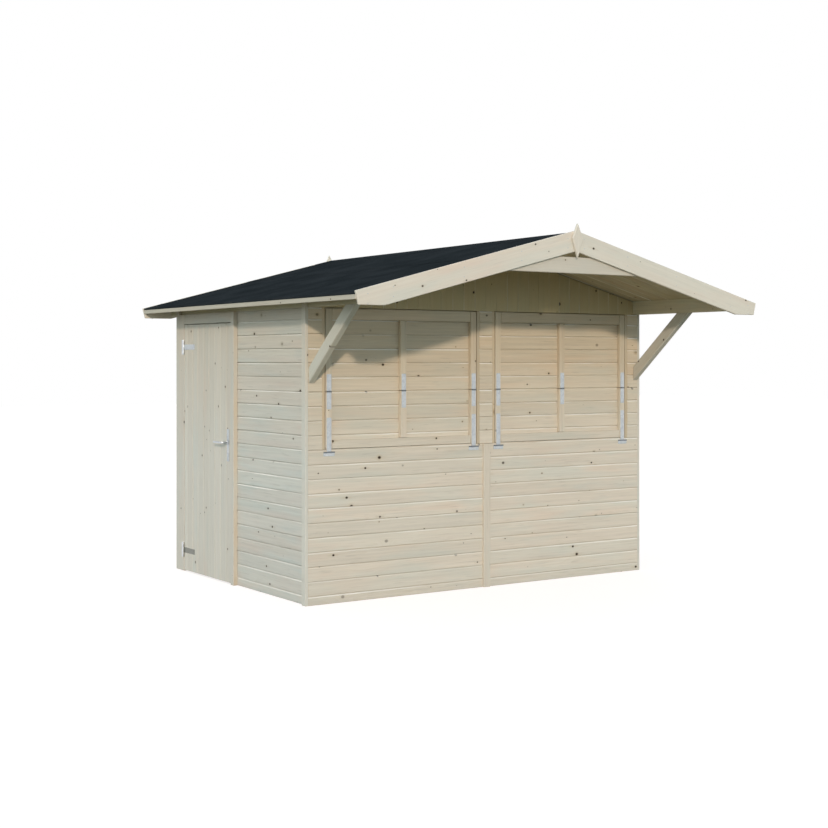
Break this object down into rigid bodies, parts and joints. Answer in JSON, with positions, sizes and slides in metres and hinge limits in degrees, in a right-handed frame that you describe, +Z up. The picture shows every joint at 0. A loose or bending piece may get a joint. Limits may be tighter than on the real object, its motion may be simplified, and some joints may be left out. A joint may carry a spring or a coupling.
{
  "type": "wooden market hut",
  "caption": "Boarded timber sales hut with a felted gable roof run out over the front as a braced canopy, folding serving hatches and a hinged side door with a lever handle.",
  "frame": {"origin": "ground level, in the middle of the roof's plan", "axes": "+X to the right along the front, +Y from the front to the back, +Z up"},
  "size_m": [3.366, 3.235, 2.5053],
  "materials": {
    "cladding": "bare planed softwood boards",
    "trim": "bare planed softwood trim",
    "frame": "sawn softwood",
    "felt": "mineral roofing felt, matt",
    "steel": "galvanised"
  },
  "bodies": {
    "hut": {"front_wall_lower": "cladding", "front_wall_piers": "cladding", "front_gable": "cladding", "back_wall": "cladding", "back_gable": "cladding", "right_wall": "cladding", "left_wall": "cladding", "left_wall_hinge_side": "cladding", "left_wall_over_door": "cladding", "corner_trims": "trim", "cover_strips": "trim", "door_surround": "trim", "bottom_plates": "frame", "end_wall_studs": "frame", "side_wall_studs": "frame", "hatch_sills": "frame", "head_rails": "frame", "top_plates": "frame", "ridge_beam": "frame", "eave_purlins": "frame", "roof_deck_left": "frame", "roof_deck_right": "frame", "roof_felt_left": "felt", "roof_felt_right": "felt", "eave_fascias": "trim", "front_bargeboard_left": "trim", "front_bargeboard_right": "trim", "back_bargeboard_left": "trim", "back_bargeboard_right": "trim", "finials": "trim", "front_collar": "trim", "canopy_braces": "trim", "left_hatch_upper": "cladding", "left_hatch_lower": "cladding", "right_hatch_upper": "cladding", "right_hatch_lower": "cladding", "hatch_battens": "trim", "hatch_fold_hinges": "steel", "hatch_tee_hinges": "steel", "door_hinge_plates": "steel"},
    "door": {"door_leaf": "cladding", "door_ledges": "frame", "door_hinge_straps": "steel", "door_lock_plates": "steel"},
    "lever": {"door_lever": "steel"}
  },
  "joints": [
    {"name": "door_swing", "type": "hinge", "parent": "hut", "child": "door", "pos_m": [-1.476, 1.287, 0.9], "axis": [0, 0, -1], "range_deg": [0, 165]},
    {"name": "lever_turn", "type": "hinge", "parent": "door", "child": "lever", "pos_m": [-1.461, 0.5275, 1.02], "axis": [-1, 0, 0], "range_deg": [0, 40], "stiffness_Nm_per_rad": 1.5, "springref_deg": -28.65}
  ]
}
